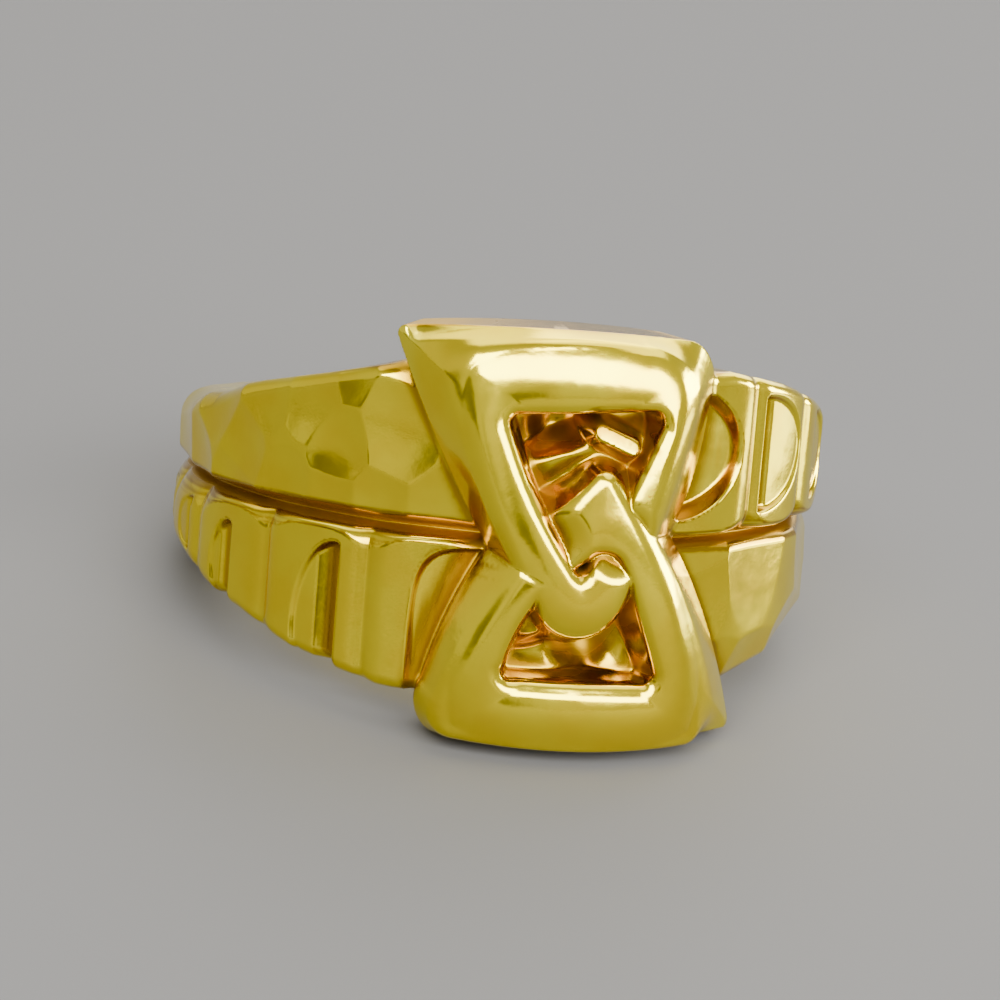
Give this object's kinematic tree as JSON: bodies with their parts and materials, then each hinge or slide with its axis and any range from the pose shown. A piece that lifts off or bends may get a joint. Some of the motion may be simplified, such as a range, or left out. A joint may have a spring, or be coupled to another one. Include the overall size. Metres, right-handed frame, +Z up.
{
  "type": "gold ring",
  "caption": "Finger ring in polished gold: a hammered and ribbed double band with a groove between, and interlocked triangular frames on the front, lying on its side.",
  "frame": {"origin": "centre of the bounding box at the surface that the ring lies on", "axes": "+Z up from that surface; the ornament is towards -Y and raised; the finger's axis leans 14 degrees from +Z towards +Y"},
  "size_m": [0.021, 0.0236, 0.0128],
  "materials": {
    "gold": "polished yellow gold"
  },
  "bodies": {
    "root": {"ring": "gold"}
  },
  "joints": []
}
